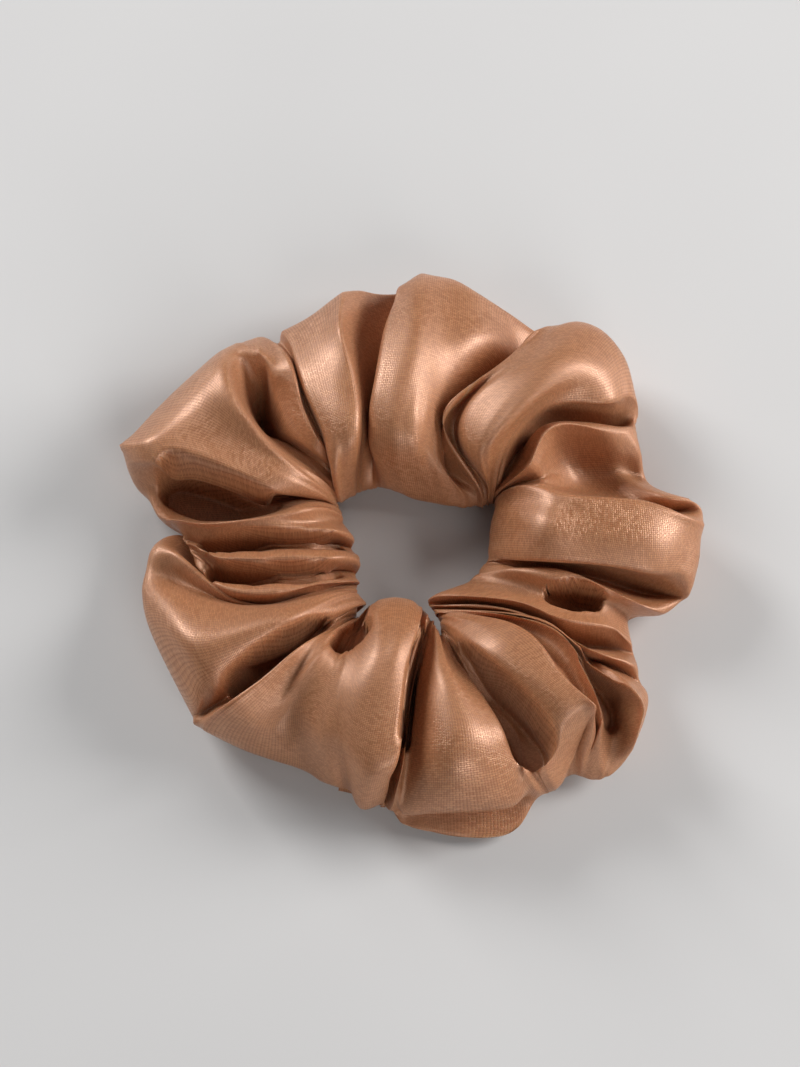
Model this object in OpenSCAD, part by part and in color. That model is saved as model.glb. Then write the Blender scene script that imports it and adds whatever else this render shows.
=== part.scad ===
// A gathered satin scrunchie lying flat: a sewn fabric tube bunched on a ring of flat elastic.
// Units are millimetres. +Z is up, and the origin is the middle of the ring, on the surface it lies on.
// The ring is cut along X, so that its back half can be pulled away from its front half along +Y.

/* [Ring] */
// Width of the opening that hair goes through, with the elastic relaxed
opening_d = 30; // [24:1:40]
// Width across the whole gathered ring
ring_d = 117; // [106:1:128]
// Height of the gathered tube as it lies
ring_h = 26; // [22:1:30]
// Clear gap between the two halves, at rest
half_gap = 0.4; // [0.2:0.1:1]

/* [Cover] */
// Thickness of the bunched satin wall
cover_wall = 1.6; // [1.2:0.1:2]
// How far the raw edges of the long seam stand inside the tube
seam_allowance = 7; // [5:0.5:9]
// Thickness of those two raw edges, lying together
seam_layers = 0.9; // [0.6:0.1:1.2]
// Direction of the closing seam, counted from +X
closing_angle = 265; // [250:1:290]
// How far one end of the tube is tucked into the other, in degrees round the ring
tuck = 12; // [8:1:16]

/* [Elastic] */
// Width across the relaxed loop of elastic, at the middle of its thickness
elastic_loop_d = 48; // [46:1:50]
// Width of the flat elastic
elastic_w = 4; // [3:0.5:5]
// Thickness of the flat elastic
elastic_t = 1.2; // [0.8:0.1:1.5]
// Height of the elastic's lower edge, which stands near the floor of the tube
elastic_rise = 4.8; // [4.7:0.1:7]
// Direction of the join in the elastic, counted from +X
join_angle = 225; // [205:1:240]
// How far the elastic's ends lap, in degrees round the loop
lap = 32; // [24:1:40]

/* [Thread] */
// Diameter of the sewing thread
thread_d = 0.4; // [0.3:0.05:0.6]
// Stitches of the long seam in each half of the ring
seam_stitches = 26; // [20:1:40]
// Stitches of the closing seam, round the tube
closing_stitches = 22; // [14:1:30]
// Zigzag crossings in the elastic's join
join_crossings = 9; // [5:2:13]

/* [Hidden] */

mid_z = ring_h / 2;
inner_round_r = opening_d / 2 + ring_h / 2;
outer_round_r = ring_d / 2 - ring_h / 2;
flat_w = outer_round_r - inner_round_r;
section_turn = 180 * ring_h / 2 * PI / 180;
section_length = 2 * flat_w + 2 * section_turn;
seam_r = (inner_round_r + outer_round_r) / 2 + 2;
elastic_r = elastic_loop_d / 2;
elastic_z = elastic_rise + elastic_w / 2;
fit_gap = 0.15;
shoulder = 1.8;
step_clear = 0.05;
stitch_lift = 1.2;
pulled_d = 0.8 * thread_d;
reach = ring_d;
satin = "peru";
elastic_colour = "ivory";
thread_colour = "sienna";
$fn = 64;

// The tube's outline across the ring: flat underneath and on top, with round inner and outer sides.
module tube_outline(inset) {
    for (r = [inner_round_r, outer_round_r])
        translate([r, mid_z]) circle(r = ring_h / 2 - inset);
    translate([inner_round_r, inset]) square([flat_w, ring_h - 2 * inset]);
}

// The long seam's raw edges, standing up inside the tube from its floor.
module seam_fin(inset) {
    translate([seam_r - seam_layers / 2, inset + cover_wall / 2])
        square([seam_layers, seam_allowance + cover_wall / 2]);
}

// The satin wall across the ring.
module wall_section(inset) {
    difference() {
        tube_outline(inset);
        tube_outline(inset + cover_wall);
    }
}

// The wall with the long seam inside it.
module cover_section(inset) {
    wall_section(inset);
    seam_fin(inset);
}

// Turns a section round the ring between two directions.
module turned(from, to) {
    rotate([0, 0, from]) rotate_extrude(angle = to - from) children();
}

// Cuts a piece off along the gap between the two halves, keeping the back (side 1) or the front (side -1).
module one_half(side) {
    intersection() {
        children();
        translate([-reach, side > 0 ? half_gap / 2 : -reach - half_gap / 2, -1])
            cube([2 * reach, reach, ring_h + 2]);
    }
}

module satin_cover_back() {
    color(satin) one_half(1) turned(-1, 181) cover_section(0);
}

// The end of the tube that is hemmed and closed over the other. Its long seam stops where the other end begins.
module satin_cover_front_hemmed_end() {
    color(satin) one_half(-1) union() {
        turned(179, closing_angle) wall_section(0);
        turned(179, closing_angle - tuck - 1) seam_fin(0);
    }
}

// The other end, which steps in so that it fits inside the hem. The step's own faces stand a hair
// clear of its neighbours', so that the three lengths join along plain edges.
module satin_cover_front_tucked_end() {
    inside = cover_wall + fit_gap;
    hem = closing_angle + 0.3;
    color(satin) one_half(-1) union() {
        turned(closing_angle - tuck, hem + shoulder / 3) cover_section(inside);
        turned(hem, hem + shoulder) difference() {
            tube_outline(step_clear);
            tube_outline(inside + cover_wall + step_clear);
        }
        turned(hem + shoulder * 2 / 3, 361) cover_section(0);
    }
}

// The flat elastic stands on edge; layer 0 is the inner lap and layer 1 the outer one.
module elastic_section(layer) {
    step = layer * (elastic_t + fit_gap / 2);
    translate([elastic_r - elastic_t / 2 + step, elastic_rise])
        square([elastic_t, elastic_w]);
}

module elastic_band_back() {
    color(elastic_colour) one_half(1) turned(-1, 181) elastic_section(0);
}

module elastic_band_front_inner_end() {
    color(elastic_colour) one_half(-1)
        turned(179, join_angle + lap / 2) elastic_section(0);
}

// This end rides over the first one, and steps down to the loop's own radius past the join.
module elastic_band_front_outer_end() {
    past = join_angle + lap / 2 + 0.5;
    color(elastic_colour) one_half(-1) {
        turned(join_angle - lap / 2, past + shoulder) elastic_section(1);
        turned(past, past + shoulder)
            translate([elastic_r - elastic_t / 2, elastic_rise])
                square([elastic_t * 2, elastic_w]);
        turned(past, 361) elastic_section(0);
    }
}

// A straight length of thread between two points.
module thread(from, to, d = thread_d) {
    run = to - from;
    level = norm([run.x, run.y]);
    translate(from)
        rotate([0, atan2(level, run.z), atan2(run.y, run.x)])
            cylinder(d = d, h = norm(run), $fn = 24);
}

// One stitch through layers lying across X: a run along Y on each face, joined through them.
module stitch(length, layers) {
    side = layers / 2 + thread_d / 2;
    end = length / 2 - thread_d;
    for (x = [-side, side])
        thread([x, -length / 2, 0], [x, length / 2, 0]);
    for (y = [-end, end])
        thread([-side, y, 0], [side, y, 0], pulled_d);
}

module long_seam_thread(start) {
    pitch = 168 / seam_stitches;
    length = 0.8 * seam_r * pitch * PI / 180;
    height = 2 * cover_wall + fit_gap + stitch_lift;
    color(thread_colour)
        for (i = [0 : seam_stitches - 1])
            rotate([0, 0, start + 6 + (i + 0.5) * pitch])
                translate([seam_r, 0, height])
                    stitch(length, seam_layers);
}

module long_seam_thread_back() {
    long_seam_thread(0);
}

module long_seam_thread_front() {
    long_seam_thread(180);
}

// A point on the tube's outline and the direction out of it, at a distance along it from the bottom's inner end.
function outline_at(along) =
    along < flat_w
        ? [[inner_round_r + along, 0], [0, -1]]
    : along < flat_w + section_turn
        ? let (a = -90 + 180 * (along - flat_w) / section_turn)
            [[outer_round_r + ring_h / 2 * cos(a), mid_z + ring_h / 2 * sin(a)], [cos(a), sin(a)]]
    : along < 2 * flat_w + section_turn
        ? [[outer_round_r - (along - flat_w - section_turn), ring_h], [0, 1]]
    : let (a = 90 + 180 * (along - 2 * flat_w - section_turn) / section_turn)
        [[inner_round_r + ring_h / 2 * cos(a), mid_z + ring_h / 2 * sin(a)], [cos(a), sin(a)]];

// Slip stitches through both walls where the tube's ends lap, each with a short run just under the hem.
module closing_seam_thread() {
    pitch = section_length / closing_stitches;
    bury = 0.5;
    deep = 2 * cover_wall + fit_gap + thread_d / 2 - bury;
    run = 1.2;
    color(thread_colour)
        rotate([0, 0, closing_angle - 3])
            for (i = [0 : closing_stitches - 1]) {
                place = outline_at((i + 0.5) * pitch);
                out = [place[1].x, 0, place[1].y];
                outside = [place[0].x, 0, place[0].y] - bury * out;
                inside = outside - deep * out;
                thread(outside, inside, pulled_d);
                thread(inside - [0, run, 0], inside + [0, run, 0]);
            }
}

// The zigzag that holds the elastic's two ends together, seen on both faces of the lap.
module elastic_join_thread() {
    layers = 2 * elastic_t + fit_gap / 2;
    middle = elastic_r + (elastic_t + fit_gap / 2) / 2;
    spread = 0.75 * lap;
    slant = 8;
    color(thread_colour)
        for (i = [0 : join_crossings - 1])
            rotate([0, 0, join_angle + spread * (i / (join_crossings - 1) - 0.5)])
                translate([middle, 0, elastic_z])
                    rotate([i % 2 == 0 ? 90 - slant : 90 + slant, 0, 0])
                        stitch(0.8 * elastic_w, layers);
}

satin_cover_back();
satin_cover_front_hemmed_end();
satin_cover_front_tucked_end();
elastic_band_back();
elastic_band_front_inner_end();
elastic_band_front_outer_end();
long_seam_thread_back();
long_seam_thread_front();
closing_seam_thread();
elastic_join_thread();
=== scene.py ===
# %% [markdown]
# # A gathered satin scrunchie
# The real object is a strip of satin sewn into a long tube, bunched up on a short loop of elastic, and
# closed where the tube's two ends meet. This lesson makes each of those parts: the strip of cloth, the
# elastic inside it and the three kinds of stitches. The frame comes first, because it holds the sizes
# everything must fit.

import math

import bmesh
import bpy
import numpy as np
from mathutils import Matrix, Vector, noise


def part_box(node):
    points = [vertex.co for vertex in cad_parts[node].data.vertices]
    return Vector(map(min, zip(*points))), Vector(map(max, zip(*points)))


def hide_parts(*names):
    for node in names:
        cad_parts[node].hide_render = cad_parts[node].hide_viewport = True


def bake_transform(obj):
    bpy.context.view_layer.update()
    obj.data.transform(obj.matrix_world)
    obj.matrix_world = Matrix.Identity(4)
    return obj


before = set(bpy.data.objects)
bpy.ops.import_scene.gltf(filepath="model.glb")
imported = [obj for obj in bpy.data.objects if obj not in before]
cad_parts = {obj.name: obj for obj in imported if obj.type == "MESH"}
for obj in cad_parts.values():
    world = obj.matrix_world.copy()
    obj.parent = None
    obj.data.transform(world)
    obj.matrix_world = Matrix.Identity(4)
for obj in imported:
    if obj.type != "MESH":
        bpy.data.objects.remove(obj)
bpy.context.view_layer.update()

# %% [markdown]
# ## How the folds are described
# Gathered cloth has no simple outline, but it has lines that the eye follows: the ridge of a fold, the
# lip of a lobe, the bottom of a crease. Each line here runs over the ring from the opening to the
# outside. It is given at five places: the rim of the opening, the inner shoulder, the top, the outer
# shoulder and the outer rim. Each place is a direction in degrees from +X, a distance from the middle and
# a height, both in millimetres. A cloth simulation can make folds too, but not these ones: it can't be
# told which lobe lies over which. The smooth surface between the lines is left to a subdivision surface,
# which bends as a soft cloth does.

# %% The fold lines, clockwise from the back of the ring, each with how sharp it is from 0 to 6
FOLD_LINES = [
    ("back edge", 6, (118, 14.5, 13), (115, 21, 19), (105, 28.5, 22), (98, 41, 20), (92, 55, 12)),
    ("back left", 0, (97, 11, 9), (99, 16, 21), (93, 26.5, 24), (89, 40, 23), (88, 58.5, 11)),
    ("back mid", 0, (65, 11, 8), (81, 16, 19), (82, 27, 21), (81, 40, 20), (82, 58.5, 10)),
    ("back bump", 0, (48, 13, 8), (71, 15.5, 16), (75, 28, 16), (73, 40.5, 18), (76, 55.5, 12)),
    ("back fall", 0, (41, 15, 7), (65, 15.5, 13), (71, 29.5, 12), (65, 43, 12), (67, 54.5, 8)),
    ("back low", 0, (41, 17, 5), (67, 17, 8), (70, 27, 7), (61, 38.5, 7), (58, 53.5, 6)),
    ("back right edge", 6, (36, 17, 9), (69, 19.5, 17), (72, 26, 21), (62, 36.5, 21), (58, 50.5, 14)),
    ("back right pleat", 0, (37, 18.5, 7), (63, 20.5, 11), (68, 27.5, 17), (59, 37, 22), (57, 52.5, 14)),
    ("back right second", 4, (32, 18, 11), (55, 18.5, 18), (64, 27, 21), (55, 37, 24), (55, 54, 14)),
    ("back right body", 0, (32, 18.5, 11), (44, 20, 21), (47, 31, 25), (47, 42.5, 25), (51, 58, 13)),
    ("back right right", 0, (32, 19.5, 11), (42, 25, 20), (43, 37, 23), (40, 47, 22), (42, 58, 13)),
    ("back right lip", 4, (32, 20.5, 10), (40, 26, 17), (41, 36.5, 19), (33, 45.5, 19), (33, 54.5, 12)),
    ("back right under", 0, (35, 21.5, 7), (39, 26, 11), (41, 37, 12), (34, 45.5, 13), (31, 54, 9)),
    ("back right valley", 0, (36, 22, 6), (40, 27, 5), (40, 37, 4), (33, 45, 5), (29, 52, 9)),
    ("inner right over", 0, (33, 21.5, 8), (38, 27.5, 12), (39, 34, 15), (31, 43.5, 14), (27, 51, 10)),
    ("inner right ridge", 5, (28, 20.5, 12), (26, 26, 20), (34, 34, 21), (28, 42.5, 17), (25, 50.5, 10)),
    ("inner right face", 0, (28, 21, 11), (23, 28, 15), (31, 36, 11), (25, 42.5, 12), (20, 49.5, 9)),
    ("inner right pocket", 0, (27, 21.5, 10), (20, 28, 15), (23, 36, 7), (19, 43, 8), (15, 49, 7)),
    ("long back", 0, (26, 21, 11), (17, 27, 17), (16, 35.5, 9), (10, 45.5, 11), (7, 55.5, 13)),
    ("long tip hollow", 0, (25, 20.5, 12), (15, 27, 18), (10, 34, 17), (7, 46.5, 12), (5, 58, 12)),
    ("long top", 5, (25, 20, 12), (11, 27, 20), (6, 33, 22), (4, 45, 20), (1, 58, 13)),
    ("long mid", 0, (9, 17, 9), (-5, 24, 20), (-6, 32.5, 21), (-6, 45.5, 20), (-3, 57.5, 9)),
    ("long low", 4, (-14, 17, 9), (-19, 24.5, 17), (-15, 36, 18), (-13, 46.5, 17), (-9, 56.5, 10)),
    ("long under", 0, (-16, 17, 7), (-17, 24, 12), (-12, 35.5, 12), (-11, 46, 9), (-12, 56, 9)),
    ("long crease", 3, (-17, 16.5, 6), (-18, 24.5, 8), (-13, 35, 8), (-12, 44.5, 3), (-13, 55, 7)),
    ("small first ridge", 5, (-25, 17, 9), (-22, 23, 14), (-18, 31.5, 16), (-19, 41, 15), (-17, 52.5, 7)),
    ("small up", 0, (-28, 16.5, 9), (-25, 23.5, 14), (-23, 31, 16), (-21, 40.5, 14), (-18, 49.5, 6)),
    ("small pocket", 0, (-35, 16, 9), (-27, 26, 12), (-25, 35, 14), (-22, 41, 12), (-19, 46.5, 5)),
    ("small low", 0, (-47, 14.5, 9), (-32, 26.5, 13), (-30, 34.5, 14), (-26, 41, 13), (-22, 46, 6)),
    ("small second ridge", 5, (-67, 14, 10), (-38, 25, 14), (-35, 34, 16), (-29, 42.5, 14),
     (-27, 48.5, 7)),
    ("corner first crease", 3, (-66, 14.5, 6), (-39, 25.5, 8), (-36, 35.5, 7), (-31, 44, 7),
     (-28, 49.5, 5)),
    ("small third ridge", 5, (-66, 16, 9), (-41, 26, 13), (-38, 39, 16), (-36, 46, 15), (-32, 52, 8)),
    ("corner second crease", 3, (-64, 16, 7), (-40, 27.5, 9), (-38, 39.5, 10), (-35, 48, 9),
     (-34, 54, 7)),
    ("corner outer", 0, (-65, 17, 9), (-39, 29, 13), (-38, 40.5, 14), (-38, 52.5, 15), (-37, 57.5, 8)),
    ("corner outer ridge", 5, (-65, 17.5, 10), (-40, 30, 15), (-39, 41.5, 17), (-40, 55.5, 18),
     (-46, 61, 6)),
    ("corner hollow", 0, (-65, 17.5, 9), (-38, 30.5, 12), (-38, 42, 9), (-41, 52, 8), (-51, 61, 5)),
    ("corner inner ridge", 5, (-66, 17.5, 10), (-41, 31.5, 17), (-42, 43, 19), (-46, 52, 18),
     (-53, 60, 5)),
    ("corner inner valley", 0, (-66, 18, 10), (-42, 31, 14), (-43, 42, 15), (-48, 52.5, 12),
     (-55, 58.5, 5)),
    ("corner inner under", 0, (-64, 17, 8), (-45, 31, 14), (-47, 42, 16), (-49, 53, 14), (-56, 57.5, 5)),
    ("pointed ridge", 5, (-66, 18.5, 11), (-48, 30.5, 20), (-49, 41.5, 22), (-49, 52.5, 23),
     (-57, 56, 6)),
    ("pointed face", 0, (-70, 19.5, 10), (-63, 29.5, 20), (-57, 41, 22), (-54, 51, 21), (-60, 57.5, 7)),
    ("pointed lip", 4, (-72, 22, 10), (-67, 30.5, 17), (-61, 40, 18), (-60, 51.5, 18), (-62, 58, 7)),
    ("pointed under", 0, (-72, 22, 7), (-68, 30.5, 12), (-62, 40, 14), (-60, 51, 13), (-63, 57.5, 6)),
    ("pointed slit", 3, (-73, 22, 5), (-70, 30, 8), (-63, 41.5, 11), (-63, 49.5, 9), (-63, 57.5, 5)),
    ("front lip", 4, (-74, 22.5, 8), (-71, 31, 14), (-66, 43, 17), (-66, 50, 15), (-65, 58, 6)),
    ("front right", 0, (-76, 23, 12), (-75, 32.5, 18), (-70, 43.5, 19), (-70, 51, 17), (-69, 56, 3)),
    ("front mid", 0, (-77, 21, 12), (-79, 32, 20), (-77, 42, 22), (-78, 51.5, 20), (-77, 54.5, 3)),
    ("front left", 0, (-78, 20, 11), (-84, 31, 18), (-85, 40.5, 20), (-86, 50.5, 18), (-87, 54, 3)),
    ("front crease", 0, (-79, 18, 7), (-87, 26.5, 11), (-90, 38.5, 14), (-91, 48, 13), (-92, 54.5, 4)),
    ("seam strip ridge", 5, (-81, 19, 13), (-88, 28, 18), (-91, 38, 19), (-92, 48.5, 17), (-94, 55.5, 6)),
    ("seam strip under", 0, (-82, 17.5, 9), (-90, 26.5, 14), (-93, 36.5, 14), (-93, 47.5, 13),
     (-95, 55, 5)),
    ("closing seam crease", 3, (-84, 16, 7), (-92, 25.5, 11), (-95, 36, 11), (-95, 46.5, 10),
     (-96, 54, 4)),
    ("flap edge", 6, (-84, 17, 14), (-89, 26, 21), (-92, 36, 22), (-93, 48, 20), (-96, 54, 8)),
    ("flap body", 0, (-99, 15, 13), (-97, 27, 23), (-98, 38, 23), (-99, 49, 20), (-100, 56, 7)),
    ("flap left", 0, (-116, 17, 13), (-107, 27, 21), (-106, 38, 22), (-105, 46.5, 19), (-103, 53, 8)),
    ("pocket right side", 0, (-121, 17, 8), (-115, 23.5, 14), (-113, 33, 20), (-109, 45, 19),
     (-105, 52, 7)),
    ("pocket floor", 0, (-121, 17.5, 7), (-118, 24.5, 11), (-116, 33, 20), (-112, 44.5, 19),
     (-107, 52.5, 7)),
    ("pocket left side", 0, (-121, 19.5, 9), (-119, 28.5, 17), (-119, 34, 21), (-115, 44, 18),
     (-111, 52, 6)),
    ("front left up", 0, (-121, 21, 10), (-122, 30, 19), (-122, 38, 21), (-121, 44.5, 15), (-116, 51, 6)),
    ("front left face", 0, (-123, 22, 11), (-125, 31, 19), (-125, 41.5, 18), (-125, 48.5, 15),
     (-125, 53, 6)),
    ("front left ridge", 5, (-126, 22.5, 10), (-128, 33, 20), (-130, 43, 21), (-132, 50.5, 20),
     (-135, 57, 9)),
    ("front left under", 0, (-128, 20.5, 7), (-130, 32.5, 14), (-132, 42.5, 12), (-133, 50.5, 16),
     (-137, 57, 8)),
    ("left slit", 3, (-130, 19, 6), (-133, 31, 10), (-137, 40, 9), (-136, 49, 12), (-138, 57, 8)),
    ("left under", 0, (-128, 18.5, 8), (-133, 30.5, 14), (-138, 39.5, 12), (-137, 49, 15), (-139, 56, 8)),
    ("left low", 3, (-127, 18, 9), (-133, 30, 18), (-137, 39.5, 19), (-140, 49, 18), (-142, 55.5, 9)),
    ("left mid", 0, (-135, 17.5, 10), (-137, 28, 19), (-143, 37.5, 21), (-149, 48, 20), (-160, 55, 8)),
    ("left up", 0, (-139, 17, 9), (-143, 26, 15), (-150, 35, 16), (-159, 44, 14), (-169, 54.5, 8)),
    ("left dent", 0, (-143, 16.5, 7), (-148, 25.5, 12), (-155, 36.5, 11), (-167, 45, 9), (-174, 53, 8)),
    ("left upper", 0, (-144, 16.5, 7), (-148, 24.5, 11), (-155, 36, 12), (-171, 44.5, 12), (-179, 51, 8)),
    ("left crease", 3, (-146, 16, 6), (-148, 23.5, 4), (-153, 31.5, 4), (-161, 40, 5), (-181, 45.5, 7)),
    ("third pleat", 3, (-142, 16, 10), (-148, 23.5, 14), (-152, 31, 15), (-160, 38.5, 14),
     (-174, 43.5, 9)),
    ("third pleat over", 0, (-147, 15.5, 9), (-153, 22.5, 13), (-159, 30, 13), (-164, 38.5, 12),
     (-175, 43.5, 9)),
    ("second slit", 3, (-157, 15.5, 6), (-156, 22, 9), (-161, 30, 9), (-166, 38, 9), (-176, 44, 9)),
    ("second pleat under", 0, (-154, 14.5, 9), (-157, 22, 12), (-163, 30, 12), (-168, 38, 11),
     (-177, 44.5, 9)),
    ("second pleat", 3, (-156, 13.5, 12), (-158, 21.5, 17), (-164, 30, 17), (-170, 38.5, 15),
     (-178, 45, 9)),
    ("second pleat over", 0, (-168, 13.5, 9), (-170, 20.5, 13), (-173, 29.5, 13), (-176, 39, 11),
     (-179, 45.5, 8)),
    ("first slit", 3, (-179, 15, 6), (-173, 20.5, 9), (-175, 30, 9), (-176, 39, 9), (-180, 46, 8)),
    ("first pleat under", 0, (-177, 14, 9), (-175, 20.5, 12), (-176, 30, 12), (-178, 39.5, 11),
     (-181, 46, 8)),
    ("first pleat lip", 4, (-179, 13.5, 12), (-175, 20, 17), (-177, 29.5, 17), (-180, 39.5, 14),
     (-183, 47.5, 8)),
    ("first pleat dent", 0, (-191, 15.5, 9), (-183, 20.5, 15), (-180, 29.5, 18), (-180, 40, 15),
     (-184, 49, 8)),
    ("first pleat top", 0, (-197, 17, 11), (-186, 22, 18), (-182, 30, 17), (-181, 41, 15), (-184, 50, 8)),
    ("beak low", 0, (-204, 18.5, 8), (-193, 25.5, 13), (-188, 32.5, 10), (-186, 43, 9), (-186, 52, 9)),
    ("beak pocket", 0, (-207, 19.5, 6), (-197, 27, 9), (-195, 35.5, 8), (-194, 45.5, 9), (-190, 54, 9)),
    ("beak under", 0, (-205, 19.5, 8), (-197, 27.5, 12), (-196, 36, 12), (-196, 46.5, 14),
     (-192, 56.5, 10)),
    ("beak lip", 4, (-202, 19.5, 11), (-192, 27, 18), (-192, 34.5, 21), (-194, 45.5, 21),
     (-194, 58.5, 12)),
    ("beak tip", 4, (-203, 18.5, 12), (-198, 26.5, 20), (-200, 37.5, 21), (-200, 49, 21), (-197, 61, 14)),
    ("beak face", 0, (-207, 18.5, 12), (-204, 26, 20), (-207, 37.5, 22), (-209, 47.5, 22), (-208, 59, 9)),
    ("beak up", 0, (-212, 19, 12), (-210, 29.5, 18), (-214, 39.5, 22), (-221, 48.5, 22),
     (-224, 56.5, 10)),
    ("hook valley", 0, (-218, 20, 10), (-218, 31.5, 11), (-219, 39.5, 6), (-225, 44.5, 12),
     (-229, 55, 11)),
    ("hook slope", 0, (-221, 21, 10), (-218, 28.5, 15), (-221, 38, 12), (-227, 43, 17), (-232, 54.5, 11)),
    ("hook inner slope", 0, (-221, 21.5, 11), (-220, 27, 17), (-226, 37, 17), (-229, 41, 20),
     (-235, 53.5, 10)),
    ("hook ridge", 5, (-222, 22, 12), (-223, 26, 19), (-228, 33, 20), (-233, 40, 21), (-236, 51.5, 10)),
    ("hook crease", 3, (-221, 21, 9), (-226, 25.5, 15), (-231, 34, 16), (-236, 42.5, 15), (-238, 52, 8)),
    ("back left edge", 6, (-211, 18, 12), (-223, 23, 19), (-231, 33, 20), (-236, 42, 18), (-240, 53, 9)),
    ("back left face", 0, (-217, 17, 12), (-228, 21, 21), (-239, 31, 22), (-244, 41.5, 20),
     (-247, 53, 10)),
    ("back left far ridge", 5, (-226, 16.5, 11), (-237, 20, 21), (-248, 31, 22), (-250, 41.5, 23),
     (-255, 55, 11)),
    ("back left dent", 0, (-234, 17.5, 10), (-245, 22, 17), (-255, 35, 14), (-257, 45, 12),
     (-261, 55.5, 9)),
    ("back left crease", 3, (-244, 17.5, 6), (-251, 22, 8), (-259, 30.5, 7), (-265, 42, 7),
     (-268, 56.5, 6)),
]
print(len(FOLD_LINES), "fold lines")

# %% [markdown]
# ## Where a fold doesn't fall away evenly
# Most folds drop from the outer shoulder to the outer rim in one even curve. A few stand high almost to
# the rim, or stop in a lip with a hollow under it, so their last slope has a place of its own. In four
# places a second thin layer of the cloth lies on the ground outside the fold, and its foot is given as
# well. Some folds end in a pinched tip, which is one point that stays sharp when the cloth around it is
# smoothed. A few hollows have a rolled edge that runs along the ring, from one fold line to another.

# %% The outer slopes, the feet and the tips that have their own place
OUTER_SLOPES = {
    "back right valley": (30, 49, 7),
    "long back": (7, 50.5, 15),
    "long tip hollow": (6, 53, 9),
    "long top": (1, 53.5, 18),
    "long mid": (-3, 54.5, 15),
    "small first ridge": (-19, 47.5, 12),
    "corner outer ridge": (-43, 59.5, 14),
    "corner hollow": (-45, 56, 8),
    "corner inner ridge": (-49, 55, 13),
    "pointed ridge": (-52, 53, 14),
    "pointed face": (-55, 54, 11),
    "pointed lip": (-62, 55, 14),
    "pointed under": (-64, 55, 14),
    "pointed slit": (-65, 54.5, 13),
    "front lip": (-67, 54.5, 14),
    "front right": (-70, 58.5, 9),
    "front mid": (-78, 57.5, 9),
    "front left": (-87, 56.5, 9),
    "front crease": (-92, 56, 8),
    "third pleat": (-168, 42, 12),
    "third pleat over": (-170, 41.5, 12),
    "second slit": (-171, 41.5, 12),
    "beak low": (-186, 48.5, 9),
    "beak pocket": (-191, 50.5, 10),
    "beak under": (-193, 52, 14),
    "beak lip": (-193, 53, 19),
    "beak tip": (-197, 55, 20),
    "hook valley": (-228, 48.5, 19),
    "hook slope": (-230, 47.5, 20),
}
LAYER_FEET = {
    "front right": (-71, 61, 2),
    "front mid": (-79, 60.5, 2),
    "front left": (-86, 58, 2),
    "front crease": (-92, 56, 2),
}
PINCHED = {
    "beak tip": ("outer rim", 0.8),
    "pointed ridge": ("outer shoulder", 0.5),
    "front left ridge": ("outer rim", 0.7),
    "long top": ("outer rim", 0.6),
    "long back": ("outer rim", 0.6),
    "back left": ("outer rim", 0.4),
    "closing seam crease": ("outer rim", 0.5),
}
ROLLED_EDGES = [
    ("inner right ridge", "long top", "inner shoulder", 0.6),
    ("small up", "small low", "inner shoulder", 0.4),
    ("pocket right side", "pocket left side", "top", 0.4),
    ("beak under", "beak low", "outer slope", 0.4),
]
EVEN_SLOPE = 0.6
EVEN_DROP = 0.62

# %% [markdown]
# ## The cloth over the elastic, and the floor of the tube
# A crease can't go deeper than what lies under it. Over the loop of elastic the cloth stays higher, and
# everywhere else it stops a little above the layer that lies on the ground. Two small functions hold that
# rule, so that the fold lines themselves stay easy to read.

# %% How low the cloth may go
elastic_low, elastic_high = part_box("elastic_band_back")
HALF_ELASTIC = 0.0006
ELASTIC_R = elastic_high[1] - HALF_ELASTIC
ELASTIC_TOP = elastic_high[2]
CLEAR_OF_ELASTIC = 0.0016
CLEAR_OF_FLOOR = 0.0036
ELASTIC_REACH = 0.004
FALL_PAST_ELASTIC = 0.9


def lowest_height(radius):
    """The lowest that the upper side of the cloth may lie, at a distance from the middle of the ring."""
    away = max(0.0, abs(radius - ELASTIC_R) - ELASTIC_REACH)
    return max(CLEAR_OF_FLOOR, ELASTIC_TOP + CLEAR_OF_ELASTIC - FALL_PAST_ELASTIC * away)


def place(direction, radius_mm, height_mm, free=False):
    """A point of the ring in metres, from its direction, its distance and its height."""
    turn = math.radians(direction)
    radius = radius_mm / 1000
    height = height_mm / 1000 if free else max(height_mm / 1000, lowest_height(radius))
    return Vector((radius * math.cos(turn), radius * math.sin(turn), height))


print("the cloth stays above", round(lowest_height(ELASTIC_R) * 1000, 1), "mm over the elastic")

# %% [markdown]
# ## The underside
# The part of the tube that lies on the ground isn't seen, and real scrunchies are nearly flat there. So
# the underside follows the fold lines only loosely: every line gets a point on the inner wall, a foot
# near the outer rim and a point on the seam line, and these are evened out round the ring. Under a
# hollow, which is a line with a low top, the underside lifts a little.

# %% The whole round of places for every fold line
SEAM_RADIUS = 0.03875
STATIONS = ["inner wall", "opening rim", "inner shoulder", "top", "outer shoulder", "outer slope",
            "outer rim", "foot", "seam line"]
INNER_RIM = STATIONS.index("opening rim")
OUTER_RIM = STATIONS.index("outer rim")
SEAM_STATION = STATIONS.index("seam line")
LOBE_TOP = 19
HOLLOW_DEPTH = 12
FOOT_HEIGHT = 1.2
FOOT_LIFT = 2.5
FOOT_STEP_IN = 3.0
WALL_HEIGHT = 3.0
WALL_STEP_OUT = 0.8
SEAM_HEIGHT = 0.7
SEAM_LIFT = 0.6
TURN_PASSES = {"inner": 4, "outer": 2, "under": 30}
RADIUS_PASSES = {"inner": 6, "outer": 3}
INNER_WEIGHT = 0.6


def evened(values, passes, turn=0.0):
    """Values round the ring, each pulled towards its neighbours; turn is what one whole round adds."""
    values = np.array(values, float)
    for _ in range(passes):
        before = np.roll(values, 1)
        after = np.roll(values, -1)
        before[0] -= turn
        after[-1] += turn
        values = (before + 2 * values + after) / 4
    return values


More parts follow.
